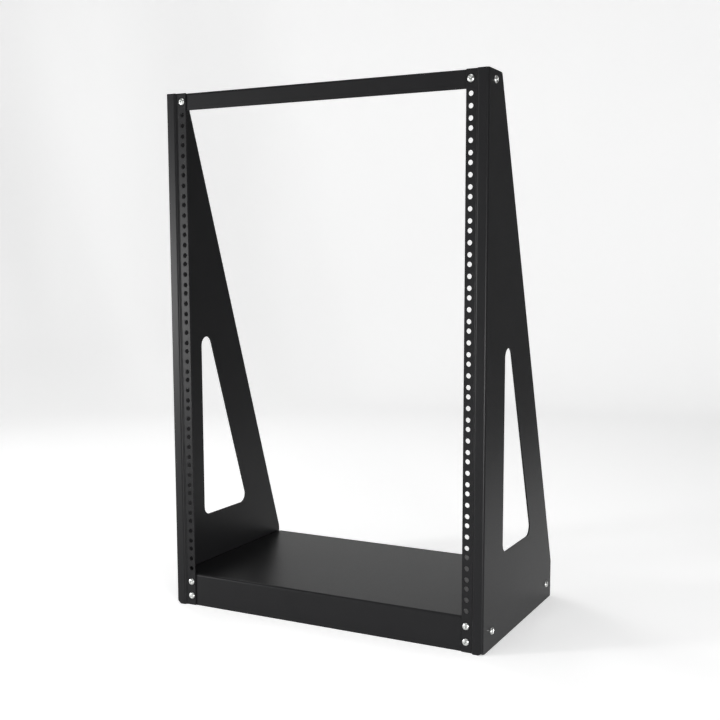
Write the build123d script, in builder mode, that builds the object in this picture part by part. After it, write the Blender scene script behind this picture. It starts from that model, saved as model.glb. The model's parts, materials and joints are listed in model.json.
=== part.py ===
import os
from math import atan2, cos, radians, tan

from build123d import *

os.makedirs("parts", exist_ok=True)

# Open frame rack of folded sheet steel: two side panels, a head beam and a base shelf.
# X runs across the rack, the front faces -Y, and the floor is at Z = 0.

# Rack standard
unit_count = 16
holes_per_unit = 3
hole_pitch = 15.875
unit_gap_pitch = 12.7
hole_column_pitch = 465.1
rack_hole_diameter = 7.0
open_hole_sides = 16

# Sheet and folds
sheet = 2.0
bend_radius = 1.5
joggle_depth = 3.5
joggle_turn = 60.0

# Front flange of a side panel, measured across the rack
hole_edge_distance = 6.65
strip_width = 17.2
land_width = 15.9

# Outline of a side panel
frame_depth = 301.7
top_depth = 49.4
plinth_height = 52.6
knee_height = 58.8
head_height = 25.3
knee_radius = 20.0
corner_radius = 3.0
foot_clip_width = 7.5
foot_clip_height = 6.0

# Window of a side panel
window_front_margin = 75.0
window_rear_margin = 75.0
window_sill_height = 126.4
window_radius = 13.5

# Base shelf and head beam
shelf_drop = 2.2
side_clearance = 0.3
fold_relief = 1.5
seam_gap = 0.5
beam_setback = 3.0

# Assembly screws
screw_hole_diameter = 6.0
base_screw_pitch = 22.4
base_side_screw_height = 25.6
base_side_screw_front = 34.2
base_side_screw_rear = 23.0
head_side_screw_front = 25.5

# Levels and planes worked out from the sizes above
unit_height = (holes_per_unit - 1) * hole_pitch + unit_gap_pitch
lowest_unit = plinth_height
highest_unit = lowest_unit + unit_count * unit_height
frame_height = highest_unit + head_height
front_face = -frame_depth / 2
rear_face = frame_depth / 2
strip_face = front_face + joggle_depth
strip_back = strip_face + sheet
hole_column = hole_column_pitch / 2
strip_inner = hole_column - hole_edge_distance
joggle_middle = strip_inner + strip_width
outer_face = joggle_middle + land_width
inner_face = outer_face - sheet
neutral_radius = bend_radius + sheet / 2
outer_bend = bend_radius + sheet
joggle_run = joggle_depth / tan(radians(joggle_turn))
span_half_width = inner_face - side_clearance
fold_end = outer_bend + fold_relief
screw_columns = (-hole_column, hole_column)

# Heights of the rack holes: round where the lowest, middle and highest units are bolted,
# and drawn with a few flat sides in the rest of the pattern
unit_hole_heights = [unit_gap_pitch / 2 + n * hole_pitch for n in range(holes_per_unit)]
unit_levels = [lowest_unit + unit * unit_height for unit in range(unit_count)]
bolted_levels = [unit_levels[0], unit_levels[(unit_count - 1) // 2], unit_levels[-1]]
bolted_heights = [
    level + height
    for level in bolted_levels
    for height in (unit_hole_heights[0], unit_hole_heights[-1])
]
open_heights = [
    level + height
    for level in unit_levels
    for height in unit_hole_heights
    if level + height not in bolted_heights
]

# Heights and places of the screws that hold the beam and the shelf
head_screw_height = frame_height - head_height / 2
base_screw_heights = [
    plinth_height / 2 - base_screw_pitch / 2,
    plinth_height / 2 + base_screw_pitch / 2,
]
head_side_screws = [(front_face + head_side_screw_front, head_screw_height)]
base_side_screws = [
    (front_face + base_side_screw_front, base_side_screw_height),
    (rear_face - base_side_screw_rear, base_side_screw_height),
]

# The window's rear edge runs parallel to the sloped rear edge of the panel
slope_run = frame_depth - top_depth
slope_rise = frame_height - knee_height
slope_angle = atan2(slope_run, slope_rise)
rear_at_sill = rear_face - (window_sill_height - knee_height) * tan(slope_angle)
window_front_edge = front_face + window_front_margin
window_rear_corner = rear_at_sill - window_rear_margin / cos(slope_angle)
window_apex = window_sill_height + (window_rear_corner - window_front_edge) / tan(slope_angle)

# Right side panel: one sheet folded at the front corner, with a joggle to the hole strip
with BuildPart() as right_side_panel:
    with BuildSketch(Plane.XY):
        with BuildLine():
            FilletPolyline(
                (outer_face - sheet / 2, rear_face),
                (outer_face - sheet / 2, front_face + sheet / 2),
                (joggle_middle + joggle_run / 2, front_face + sheet / 2),
                (joggle_middle - joggle_run / 2, strip_face + sheet / 2),
                (strip_inner, strip_face + sheet / 2),
                radius=neutral_radius,
            )
        trace(line_width=sheet)
    extrude(amount=frame_height)
    # Outline seen from the side, with the slope from the head down to the knee
    with BuildSketch(Plane.YZ) as outline:
        with BuildLine():
            Polyline(
                (front_face, 0),
                (rear_face, 0),
                (rear_face, knee_height),
                (front_face + top_depth, frame_height),
                (front_face, frame_height),
                close=True,
            )
        make_face()
        fillet(outline.vertices().sort_by_distance((rear_face, knee_height))[0], knee_radius)
        fillet(outline.vertices().sort_by_distance((rear_face, 0))[0], corner_radius)
        head_corner = (front_face + top_depth, frame_height)
        fillet(outline.vertices().sort_by_distance(head_corner)[0], corner_radius)
    extrude(amount=outer_face, mode=Mode.INTERSECT)
    # The foot of the fold is clipped, so that no sharp corner stands on the floor
    clip_plane = Plane(
        origin=(outer_face, front_face, foot_clip_height),
        z_dir=(-1 / foot_clip_width, 1 / foot_clip_width, 1 / foot_clip_height),
    )
    split(bisect_by=clip_plane, keep=Keep.TOP)
    # Triangular window with rounded corners
    with BuildSketch(Plane.YZ.offset(inner_face)) as window:
        with BuildLine():
            Polyline(
                (window_front_edge, window_sill_height),
                (window_rear_corner, window_sill_height),
                (window_front_edge, window_apex),
                close=True,
            )
        make_face()
        fillet(window.vertices(), window_radius)
    extrude(amount=sheet, mode=Mode.SUBTRACT)
    # Rack holes and front screw holes through the hole strip
    with BuildSketch(Plane.XZ.offset(-strip_back)):
        with Locations([(hole_column, height) for height in bolted_heights]):
            Circle(rack_hole_diameter / 2)
        with Locations([(hole_column, height) for height in open_heights]):
            RegularPolygon(rack_hole_diameter / 2, open_hole_sides, major_radius=False)
        front_screw_heights = [head_screw_height] + base_screw_heights
        with Locations([(hole_column, height) for height in front_screw_heights]):
            Circle(screw_hole_diameter / 2)
    extrude(amount=sheet, mode=Mode.SUBTRACT)
    # Screw holes through the side plate
    with BuildSketch(Plane.YZ.offset(inner_face)):
        with Locations(head_side_screws + base_side_screws):
            Circle(screw_hole_diameter / 2)
    extrude(amount=sheet, mode=Mode.SUBTRACT)
right_side_panel.part.label = "right_side_panel"
export_step(right_side_panel.part, "parts/right_side_panel.step")

# Left side panel: the mirror image of the right one
with BuildPart() as left_side_panel:
    mirror(right_side_panel.part, about=Plane.YZ)
left_side_panel.part.label = "left_side_panel"
export_step(left_side_panel.part, "parts/left_side_panel.step")

# Base shelf: an upturned tray whose four flanges reach the floor
shelf_top = lowest_unit - shelf_drop
seam_height = shelf_top - fold_end
with BuildPart() as base_shelf:
    # Top with its front and rear flanges
    with BuildSketch(Plane.YZ):
        with BuildLine():
            FilletPolyline(
                (strip_back + sheet / 2, 0),
                (strip_back + sheet / 2, shelf_top - sheet / 2),
                (rear_face - sheet / 2, shelf_top - sheet / 2),
                (rear_face - sheet / 2, 0),
                radius=neutral_radius,
            )
        trace(line_width=sheet)
    extrude(amount=span_half_width - fold_end, both=True)
    # Top with its side flanges, cut short of the corners where the folds meet
    with BuildSketch(Plane.XZ.offset(-strip_back - fold_end)):
        with BuildLine():
            FilletPolyline(
                (-span_half_width + sheet / 2, 0),
                (-span_half_width + sheet / 2, shelf_top - sheet / 2),
                (span_half_width - sheet / 2, shelf_top - sheet / 2),
                (span_half_width - sheet / 2, 0),
                radius=neutral_radius,
            )
        trace(line_width=sheet)
    extrude(amount=-(rear_face - strip_back - 2 * fold_end))
    # Below the corner notches the flanges run on until only a seam is left between them
    with BuildSketch(Plane.XY):
        for flange_middle in (strip_back + sheet / 2, rear_face - sheet / 2):
            with Locations((0, flange_middle)):
                Rectangle(2 * span_half_width, sheet)
        seam_inset = sheet + seam_gap
        for flange_middle in (-span_half_width + sheet / 2, span_half_width - sheet / 2):
            with Locations((flange_middle, (strip_back + rear_face) / 2)):
                Rectangle(sheet, rear_face - strip_back - 2 * seam_inset)
    extrude(amount=seam_height)
    # Screw holes through the front and side flanges
    with BuildSketch(Plane.XZ.offset(-strip_back)):
        with Locations([(x, z) for x in screw_columns for z in base_screw_heights]):
            Circle(screw_hole_diameter / 2)
    extrude(amount=-sheet, mode=Mode.SUBTRACT)
    with BuildSketch(Plane.YZ):
        with Locations(base_side_screws):
            Circle(screw_hole_diameter / 2)
    extrude(amount=span_half_width, both=True, mode=Mode.SUBTRACT)
base_shelf.part.label = "base_shelf"
export_step(base_shelf.part, "parts/base_shelf.step")

# Head beam: a folded angle behind the hole strips with an end tab against each side panel
beam_bottom = highest_unit
beam_back = front_face + top_depth - beam_setback
with BuildPart() as head_beam:
    # Web with its top flange
    with BuildSketch(Plane.YZ):
        with BuildLine():
            FilletPolyline(
                (strip_back + sheet / 2, beam_bottom),
                (strip_back + sheet / 2, frame_height - sheet / 2),
                (beam_back, frame_height - sheet / 2),
                radius=neutral_radius,
            )
        trace(line_width=sheet)
    extrude(amount=span_half_width - fold_end, both=True)
    # Web with its end tabs, cut short of the corners where the folds meet
    with BuildSketch(Plane.XY.offset(beam_bottom)):
        with BuildLine():
            FilletPolyline(
                (-span_half_width + sheet / 2, beam_back),
                (-span_half_width + sheet / 2, strip_back + sheet / 2),
                (span_half_width - sheet / 2, strip_back + sheet / 2),
                (span_half_width - sheet / 2, beam_back),
                radius=neutral_radius,
            )
        trace(line_width=sheet)
    extrude(amount=head_height - fold_end)
    # Screw holes through the web and the end tabs
    with BuildSketch(Plane.XZ.offset(-strip_back)):
        with Locations([(x, head_screw_height) for x in screw_columns]):
            Circle(screw_hole_diameter / 2)
    extrude(amount=-sheet, mode=Mode.SUBTRACT)
    with BuildSketch(Plane.YZ):
        with Locations(head_side_screws):
            Circle(screw_hole_diameter / 2)
    extrude(amount=span_half_width, both=True, mode=Mode.SUBTRACT)
head_beam.part.label = "head_beam"
export_step(head_beam.part, "parts/head_beam.step")
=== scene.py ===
import json
from math import cos, pi, radians, sin, tan

import bpy
import numpy as np
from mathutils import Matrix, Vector


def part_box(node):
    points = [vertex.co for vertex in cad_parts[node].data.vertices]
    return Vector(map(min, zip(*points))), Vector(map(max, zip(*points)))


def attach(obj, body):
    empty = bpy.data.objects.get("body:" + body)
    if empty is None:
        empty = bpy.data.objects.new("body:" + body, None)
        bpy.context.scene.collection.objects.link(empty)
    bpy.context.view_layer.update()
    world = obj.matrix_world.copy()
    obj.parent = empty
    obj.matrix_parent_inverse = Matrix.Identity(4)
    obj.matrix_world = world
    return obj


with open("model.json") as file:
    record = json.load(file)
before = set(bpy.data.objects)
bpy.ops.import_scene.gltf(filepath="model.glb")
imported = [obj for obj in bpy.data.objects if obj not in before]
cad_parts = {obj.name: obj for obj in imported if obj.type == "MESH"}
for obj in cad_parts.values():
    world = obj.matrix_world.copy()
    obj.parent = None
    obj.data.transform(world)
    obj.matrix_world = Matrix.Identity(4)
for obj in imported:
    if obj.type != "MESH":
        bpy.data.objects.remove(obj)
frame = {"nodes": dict(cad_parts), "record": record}  # four folded sheets in metres, the front towards -Y
bpy.context.view_layer.update()
mm = 0.001
print("frame loaded:", ", ".join(sorted(frame["nodes"])))


def hexToLinear(code):
    # each sRGB channel c: c / 12.92 up to 0.04045, ((c + 0.055) / 1.055) ^ 2.4 above it
    srgb = np.array([int(code[i:i + 2], 16) for i in (1, 3, 5)]) / 255
    linear = np.where(srgb <= 0.04045, srgb / 12.92, ((srgb + 0.055) / 1.055) ** 2.4)
    return (*linear.tolist(), 1.0)


def addNode(tree, kind, inputs, **settings):
    # inputs maps a socket's name or number to a value or to another node's output
    node = tree.nodes.new(kind)
    for name, value in settings.items():
        setattr(node, name, value)
    for socket, value in inputs.items():
        if isinstance(value, bpy.types.NodeSocket):
            tree.links.new(value, node.inputs[socket])
        else:
            node.inputs[socket].default_value = value
    return node


def newTree(name):
    material = bpy.data.materials.new(name)
    material.use_nodes = True
    material.node_tree.nodes.clear()
    return material, material.node_tree


# most of a noise lies between these two
noiseLow = 0.3
noiseHigh = 0.7

# Powder-coated steel: sprayed dry and baked to a satin black skin, so it is almost black face on
# and mirrors pale surroundings softly at a low angle
coat = {
    "darkHex": "#161617",
    "paleHex": "#1c1c1d",
    "cloudMm": 70.0,  # slow drift of tone across a sheet
    "cloudDetail": 3.0,
    "gritMm": 1.3,  # the real grit is about 0.3 mm, drawn coarser so that it shows
    "gritDetail": 2.0,
    "gritHeightMm": 0.02,
    "edgeMm": 0.7,  # the skin rounds the cut edges
    "edgeSamples": 6,
    "roughLow": 0.34,
    "roughHigh": 0.40,
    "specular": 0.115,  # the powder's matting keeps the shine low
}


def powderCoatedSteel():
    material, tree = newTree("powderCoatedSteel")
    # object coordinates are metres, so a scale of 1 / size gives blotches about that size
    place = addNode(tree, "ShaderNodeTexCoord", {}).outputs["Object"]
    grain = {"Vector": place, "Scale": 1 / (coat["gritMm"] * mm), "Detail": coat["gritDetail"]}
    grit = addNode(tree, "ShaderNodeTexNoise", grain).outputs[0]
    drift = {"Vector": place, "Scale": 1 / (coat["cloudMm"] * mm), "Detail": coat["cloudDetail"]}
    cloud = addNode(tree, "ShaderNodeTexNoise", drift).outputs[0]
    # a colour mix takes its share at 0 and its colours at 6 and 7, and gives the result at 2
    blacks = {0: cloud, 6: hexToLinear(coat["darkHex"]), 7: hexToLinear(coat["paleHex"])}
    tone = addNode(tree, "ShaderNodeMix", blacks, data_type="RGBA").outputs[2]
    satin = {
        "Value": grit,
        "From Min": noiseLow,
        "From Max": noiseHigh,
        "To Min": coat["roughLow"],
        "To Max": coat["roughHigh"],
    }
    roughness = addNode(tree, "ShaderNodeMapRange", satin).outputs[0]
    edge = addNode(tree, "ShaderNodeBevel", {"Radius": coat["edgeMm"] * mm}, samples=coat["edgeSamples"])
    lumps = {"Height": grit, "Distance": coat["gritHeightMm"] * mm, "Normal": edge.outputs[0]}
    bump = addNode(tree, "ShaderNodeBump", lumps)
    skin = {
        "Base Color": tone,
        "Roughness": roughness,
        "Specular IOR Level": coat["specular"],
        "Normal": bump.outputs[0],
    }
    shader = addNode(tree, "ShaderNodeBsdfPrincipled", skin)
    addNode(tree, "ShaderNodeOutputMaterial", {"Surface": shader.outputs[0]})
    return material


# Zinc-plated steel: a thin bright plating with a faint grey bloom, nearly white under soft light
zinc = {
    "brightHex": "#d6d7d5",
    "bloomHex": "#b2b4b2",
    "bloomMm": 1.6,  # cloudy patches on a head
    "bloomDetail": 3.0,
    "roughLow": 0.26,
    "roughHigh": 0.38,
}


def zincPlatedSteel():
    material, tree = newTree("zincPlatedSteel")
    place = addNode(tree, "ShaderNodeTexCoord", {}).outputs["Object"]
    patches = {"Vector": place, "Scale": 1 / (zinc["bloomMm"] * mm), "Detail": zinc["bloomDetail"]}
    bloom = addNode(tree, "ShaderNodeTexNoise", patches).outputs[0]
    greys = {0: bloom, 6: hexToLinear(zinc["brightHex"]), 7: hexToLinear(zinc["bloomHex"])}
    tone = addNode(tree, "ShaderNodeMix", greys, data_type="RGBA").outputs[2]
    dulling = {
        "Value": bloom,
        "From Min": noiseLow,
        "From Max": noiseHigh,
        "To Min": zinc["roughLow"],
        "To Max": zinc["roughHigh"],
    }
    roughness = addNode(tree, "ShaderNodeMapRange", dulling).outputs[0]
    plating = {"Base Color": tone, "Roughness": roughness, "Metallic": 1.0}
    shader = addNode(tree, "ShaderNodeBsdfPrincipled", plating)
    addNode(tree, "ShaderNodeOutputMaterial", {"Surface": shader.outputs[0]})
    return material


coatMaterial = powderCoatedSteel()
zincMaterial = zincPlatedSteel()
for node in frame["nodes"].values():
    node.data.materials.clear()
    node.data.materials.append(coatMaterial)
print("sheets coated:", len(frame["nodes"]))


sharpDegrees = 38.0  # a fold steeper than this keeps a crisp edge


def turnedMesh(name, rings, firstPole=None, lastPole=None):
    # rings is rows x columns x 3: columns go round, rows go along, and a pole closes an open end;
    # with no poles the rows close on themselves as well
    rows, columns = rings.shape[:2]
    wrap = 0 if firstPole is not None else 1
    i, j = np.meshgrid(np.arange(rows - 1 + wrap), np.arange(columns), indexing="ij")
    below = (i + 1) % rows
    right = (j + 1) % columns
    corners = [i * columns + j, below * columns + j, below * columns + right, i * columns + right]
    faces = np.stack(corners, -1).reshape(-1, 4).tolist()
    points = rings.reshape(-1, 3)
    if not wrap:
        around = np.arange(columns)
        following = (around + 1) % columns
        first = rows * columns
        base = (rows - 1) * columns
        points = np.vstack([points, firstPole, lastPole])
        faces += np.stack([np.full(columns, first), around, following], -1).tolist()
        faces += np.stack([np.full(columns, first + 1), base + following, base + around], -1).tolist()
    mesh = bpy.data.meshes.new(name)
    mesh.from_pydata(points.tolist(), [], faces)
    mesh.shade_smooth()
    mesh.set_sharp_from_angle(angle=radians(sharpDegrees))
    mesh.validate()
    piece = bpy.data.objects.new(name, mesh)
    bpy.context.scene.collection.objects.link(piece)
    return piece


def placeRings(local, seat, out, turn):
    # local x, y, height become seat + x * side + y * up + height * out, turned about out
    out = np.array(out, float)
    up = np.array([0.0, 0.0, 1.0])
    side = np.cross(up, out)
    x, y, height = np.moveaxis(local, -1, 0)
    across = (cos(turn) * x - sin(turn) * y)[..., None] * side
    along = (sin(turn) * x + cos(turn) * y)[..., None] * up
    return np.array(seat) + (across + along + height[..., None] * out) * mm


# Pan head screw with a cross recess, its thread showing past the nut
screw = {
    "headRadius": 5.2,
    "headHeight": 2.7,
    "wingLength": 2.7,
    "wingHalfWidth": 0.62,
    "recessDepth": 1.7,
    "recessRise": 0.55,  # share of its depth that the recess loses out to the wing tips
    "recessWall": 0.4,
    "threadRadius": 2.4,
    "threadDepth": 0.28,
    "threadPitch": 0.8,
    "tipTaper": 0.25,
    "reach": 9.4,  # from the seat to the tip
    "innerRing": 0.18,  # radius of the ring next to the pole
    "outerFlat": 3.4,  # the rows lie closer together inside this radius, where the recess is
    "flatRows": 18,
    "rimRows": 9,
    "threadRows": 72,
    "columns": 96,
}


def screwRings():
    # crown: (r / R)^4 + (h / H)^2 = 1; the recess lowers it by depth * clip(inside / wall, 0, 1),
    # where inside is the distance in from the edge of two crossed bars
    angle = np.linspace(0, 2 * pi, screw["columns"], endpoint=False)
    flat = np.linspace(screw["innerRing"], screw["outerFlat"], screw["flatRows"])
    rim = np.linspace((flat[-1] / screw["headRadius"]) ** 2, 1, screw["rimRows"])[1:]
    crownRadius = np.concatenate([flat, screw["headRadius"] * np.sqrt(rim)])
    share = np.clip(1 - (crownRadius / screw["headRadius"]) ** 4, 0, 1)
    crownHeight = screw["headHeight"] * np.sqrt(share)
    r, a = np.meshgrid(crownRadius, angle, indexing="ij")
    x = r * np.cos(a)
    y = r * np.sin(a)
    barX = np.maximum(np.abs(x) - screw["wingLength"], np.abs(y) - screw["wingHalfWidth"])
    barY = np.maximum(np.abs(y) - screw["wingLength"], np.abs(x) - screw["wingHalfWidth"])
    inside = np.clip(-np.minimum(barX, barY) / screw["recessWall"], 0, 1)
    outward = np.clip(r / screw["wingLength"], 0, 1)
    depth = screw["recessDepth"] * (1 - screw["recessRise"] * outward)
    crown = np.stack([x, y, crownHeight[:, None] - depth * inside], -1)
    # thread: radius = middle + half depth * cos(2 pi h / pitch - angle) down to the tip
    drop = np.linspace(0, -screw["reach"], screw["threadRows"])
    h, a = np.meshgrid(drop, angle, indexing="ij")
    ridge = screw["threadDepth"] / 2 * np.cos(2 * pi * h / screw["threadPitch"] - a)
    tip = 1 - np.clip((screw["reach"] + h) / screw["threadPitch"], 0, 1)
    r = (screw["threadRadius"] + ridge) * (1 - screw["tipTaper"] * tip)
    shank = np.stack([r * np.cos(a), r * np.sin(a), h], -1)
    return np.concatenate([crown, shank])


# Hex nut behind the flange
nut = {
    "acrossFlats": 8.0,
    "height": 4.0,
    "boreRadius": 2.6,
    "mouth": 0.3,  # the bore's countersink
    "chamferRadius": 4.25,
    "chamferRise": 0.55,
    "columns": 96,
}


def nutRings():
    # hexagon: radius = apothem / cos(angle folded into -30..30 degrees); the chamfer caps it at a cone
    angle = np.linspace(0, 2 * pi, nut["columns"], endpoint=False)
    folded = (angle + pi / 6) % (pi / 3) - pi / 6
    apothem = nut["acrossFlats"] / 2
    hexagon = apothem / np.cos(folded)
    face = np.minimum(hexagon, nut["chamferRadius"])
    rise = (hexagon - face) / (apothem / cos(pi / 6) - nut["chamferRadius"]) * nut["chamferRise"]
    bore = np.full_like(angle, nut["boreRadius"])
    mouth = bore + nut["mouth"]
    low = np.zeros_like(angle)
    top = low + nut["height"]
    radii = np.stack([mouth, face, hexagon, hexagon, face, mouth, bore, bore])
    heights = np.stack([low, low, rise, top - rise, top, top, top - nut["mouth"], low + nut["mouth"]])
    return np.stack([radii * np.cos(angle), radii * np.sin(angle), heights], -1)


# Places of the screws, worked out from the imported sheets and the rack's hole pattern
places = {
    "baseScrewPitch": 22.4,
    "baseSideHeight": 25.6,
    "baseSideFront": 34.2,
    "baseSideRear": 23.0,
    "headSideFront": 25.5,
    "unitGapPitch": 12.7,
    "frontGrip": 4.0,  # hole strip and flange
    "sideGrip": 4.3,  # side plate, its clearance and flange
    "turnStep": 53.0,  # each screw stops at another angle
}


def screwPlaces():
    pattern = frame["record"]["mounts"][0]
    panelLow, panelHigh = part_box("right_side_panel")
    beamLow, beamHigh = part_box("head_beam")
    column = pattern["dims"]["spacing_x_mm"] / 2 * mm
    stripFace = pattern["pos_m"][1]
    unitHeight = (pattern["dims"]["spacing_y_mm"] + places["unitGapPitch"]) * mm
    plinthTop = pattern["pos_m"][2] - unitHeight / 2
    headLevel = (beamLow.z + beamHigh.z) / 2
    sideLevel = places["baseSideHeight"] * mm
    halfPitch = places["baseScrewPitch"] / 2 * mm
    middle = plinthTop / 2
    front = {"Head": headLevel, "BaseUpper": middle + halfPitch, "BaseLower": middle - halfPitch}
    side = {
        "Head": (panelLow.y + places["headSideFront"] * mm, headLevel),
        "BaseFront": (panelLow.y + places["baseSideFront"] * mm, sideLevel),
        "BaseRear": (panelHigh.y - places["baseSideRear"] * mm, sideLevel),
    }
    found = []
    for word, sign in (("Left", -1), ("Right", 1)):
        for key, z in front.items():
            seat = (sign * column, stripFace, z)
            found.append((word + "Front" + key, seat, (0, -1, 0), places["frontGrip"]))
        for key, (y, z) in side.items():
            seat = (sign * panelHigh.x, y, z)
            found.append((word + "Side" + key, seat, (sign, 0, 0), places["sideGrip"]))
    return found


for index, (name, seat, out, grip) in enumerate(screwPlaces()):
    turn = radians(places["turnStep"] * index)
    poles = np.array([[[0, 0, screw["headHeight"] - screw["recessDepth"]]], [[0, 0, -screw["reach"]]]])
    top, tip = placeRings(poles, seat, out, turn)
    head = turnedMesh("screw" + name, placeRings(screwRings(), seat, out, turn), top, tip)
    lowered = nutRings() - np.array([0, 0, grip + nut["height"]])
    ring = turnedMesh("nut" + name, placeRings(lowered, seat, out, turn))
    for piece in (head, ring):
        piece.data.materials.append(zincMaterial)
        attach(piece, "root")
print("screws and nuts placed:", index + 1)


# Pale floor that runs up into a round backdrop on all sides of the rack
cove = {
    "middle": (0.27, -0.54),
    "radius": 4.0,
    "bendRadius": 1.2,
    "height": 3.2,
    "bendRows": 24,
    "columns": 128,
    "paperHex": "#ececec",
    # painted shade: the grey the paper turns to outside the picture, where its glow fades as well
    "shadeGreyHex": "#a6a6a6",  # outside the picture
    "lift": 0.43,  # what the lamps leave short of white
    # where the painted shade sets in and where it is complete, along each direction
    "shadeFades": (
        {"toward": (0.988, 0.156, 0.0), "start": 0.57, "end": 1.05},  # past the picture's right edge
        {"toward": (0.448, -0.894, 0.0), "start": 1.6, "end": 6.5},  # behind the camera
        {"toward": (0.0, 0.0, 1.0), "start": 1.85, "end": 2.7},  # above the picture
    ),
}


def matteWhitePaper():
    # white studio paper: even and shadeless in the picture but for the rack's own soft shadow, with
    # painted shade that turns it grey beyond the picture
    material, tree = newTree("matteWhitePaper")
    path = addNode(tree, "ShaderNodeLightPath", {})
    rays = {0: path.outputs["Is Camera Ray"], 1: path.outputs["Is Glossy Ray"]}
    seen = addNode(tree, "ShaderNodeMath", rays, operation="MAXIMUM")
    rays = {0: seen.outputs[0], 1: path.outputs["Is Transmission Ray"]}
    seen = addNode(tree, "ShaderNodeMath", rays, operation="MAXIMUM")
    # painted shade: the paper's colour and glow turn from white to grey beyond the picture, so that the
    # rack's sides mirror a dim studio there
    place = addNode(tree, "ShaderNodeTexCoord", {}).outputs["Object"]
    white = 1.0
    for fade in cove["shadeFades"]:
        reach = {0: place, 1: fade["toward"]}
        reach = addNode(tree, "ShaderNodeVectorMath", reach, operation="DOT_PRODUCT").outputs["Value"]
        ends = {
            "Value": reach,
            "From Min": fade["start"],
            "From Max": fade["end"],
            "To Min": white,
            "To Max": 0.0,
        }
        white = addNode(tree, "ShaderNodeMapRange", ends, interpolation_type="SMOOTHSTEP").outputs[0]
    lift = addNode(tree, "ShaderNodeMath", {0: seen.outputs[0], 1: white}, operation="MULTIPLY")
    lift = addNode(tree, "ShaderNodeMath", {0: lift.outputs[0], 1: cove["lift"]}, operation="MULTIPLY")
    glow = addNode(tree, "ShaderNodeEmission", {"Strength": lift.outputs[0]})
    paintedShades = {0: white, 6: hexToLinear(cove["shadeGreyHex"]), 7: hexToLinear(cove["paperHex"])}
    tone = addNode(tree, "ShaderNodeMix", paintedShades, data_type="RGBA").outputs[2]
    paper = addNode(tree, "ShaderNodeBsdfDiffuse", {"Color": tone})
    both = addNode(tree, "ShaderNodeAddShader", {0: paper.outputs[0], 1: glow.outputs[0]})
    addNode(tree, "ShaderNodeOutputMaterial", {"Surface": both.outputs[0]})
    return material


def studioCove():
    # profile turned about the vertical: floor out to the bend, quarter arc of its radius, wall line
    arc = np.linspace(0, pi / 2, cove["bendRows"])
    bend = cove["bendRadius"]
    out = np.append(cove["radius"] - bend + bend * np.sin(arc), cove["radius"])
    z = np.append(bend - bend * np.cos(arc), cove["height"])
    angle = np.linspace(0, 2 * pi, cove["columns"], endpoint=False)
    r, a = np.meshgrid(out, angle, indexing="ij")
    x = cove["middle"][0] + r * np.cos(a)
    y = cove["middle"][1] + r * np.sin(a)
    points = np.stack([x, y, np.repeat(z[:, None], len(angle), 1)], -1).reshape(-1, 3)
    i, j = np.meshgrid(np.arange(len(out) - 1), np.arange(len(angle)), indexing="ij")
    following = (j + 1) % len(angle)
    low = i * len(angle)
    high = low + len(angle)
    faces = np.stack([low + j, high + j, high + following, low + following], -1).reshape(-1, 4).tolist()
    mesh = bpy.data.meshes.new("studioCove")
    mesh.from_pydata(points.tolist(), [], faces + [list(range(len(angle)))])
    mesh.shade_smooth()
    mesh.materials.append(matteWhitePaper())
    piece = bpy.data.objects.new("studioCove", mesh)
    bpy.context.scene.collection.objects.link(piece)


studioCove()
print("cove laid")


# Soft boxes: where each stands and looks, its width and height in metres, the spread of its beam
# in degrees, and its glow straight ahead, where 1 is white
softBoxes = {
    "keyLeft": {
        "stand": (-1.635, -1.472, 0.42),
        "look": (0.0, 0.0, 0.42),
        "size": (0.35, 0.35),
        "spread": 150.0,
        "glow": 92.0,
    },
    "edgeRight": {
        "stand": (1.414, -1.414, 0.16),
        "look": (0.0, 0.0, 0.40),
        "size": (0.28, 0.28),
        "spread": 150.0,
        "glow": 158.0,
    },
    "backLeft": {
        "stand": (-1.560, 0.900, 1.66),
        "look": (0.0, 0.0, 0.40),
        "size": (0.8, 0.8),
        "spread": 180.0,
        "glow": 4.0,
    },
    "overhead": {
        "stand": (0.1, -0.6, 2.4),
        "look": (0.0, -0.1, 0.0),
        "size": (1.2, 1.2),
        "spread": 180.0,
        "glow": 3.4,
    },
    "backdrop": {
        "stand": (-0.537, 1.073, 2.6),
        "look": (-1.432, 2.861, 1.0),
        "size": (3.0, 0.8),
        "spread": 180.0,
        "glow": 0.9,
    },
}
for name, box in softBoxes.items():
    lamp = bpy.data.lights.new(name, "AREA")
    lamp.shape = "RECTANGLE"
    lamp.size, lamp.size_y = box["size"]
    lamp.spread = radians(box["spread"])
    # a narrowed beam gathers the same power ahead, 1 / (1 - h / tan(h)) of it for half a spread h
    half = lamp.spread / 2
    lamp.energy = box["glow"] * lamp.size * lamp.size_y * pi * (1 - half / tan(half))
    holder = bpy.data.objects.new(name, lamp)
    holder.location = box["stand"]
    aim = Vector(box["look"]) - Vector(box["stand"])
    holder.rotation_euler = aim.to_track_quat("-Z", "Y").to_euler()
    holder.visible_camera = False
    bpy.context.scene.collection.objects.link(holder)

# Dim grey room above the cove
room = {"hex": "#8c8c8c"}
world = bpy.data.worlds.new("dimStudio")
world.use_nodes = True
world.node_tree.nodes["Background"].inputs["Color"].default_value = hexToLinear(room["hex"])
bpy.context.scene.world = world
print("soft boxes lit:", len(softBoxes))


# Camera: found from the rack's hole centres, so that they fall where the photograph has them
view = {
    "place": (0.76682, -1.47597, 0.53916),
    "turn": 26.588,
    "tilt": -6.589,
    "lens": 53.317,
    "sensor": 36.0,
    "shift": (-0.02969, 0.03410),
}
lensData = bpy.data.cameras.new("studioCamera")
lensData.lens = view["lens"]
lensData.sensor_width = view["sensor"]
lensData.shift_x, lensData.shift_y = view["shift"]
camera = bpy.data.objects.new("studioCamera", lensData)
camera.location = view["place"]
# a camera looks straight down unturned, so 90 degrees brings it level
camera.rotation_euler = (radians(90 + view["tilt"]), 0, radians(view["turn"]))
bpy.context.scene.collection.objects.link(camera)
bpy.context.scene.camera = camera
bpy.context.scene.view_settings.view_transform = "Standard"
print("camera set")

bpy.context.view_layer.update()
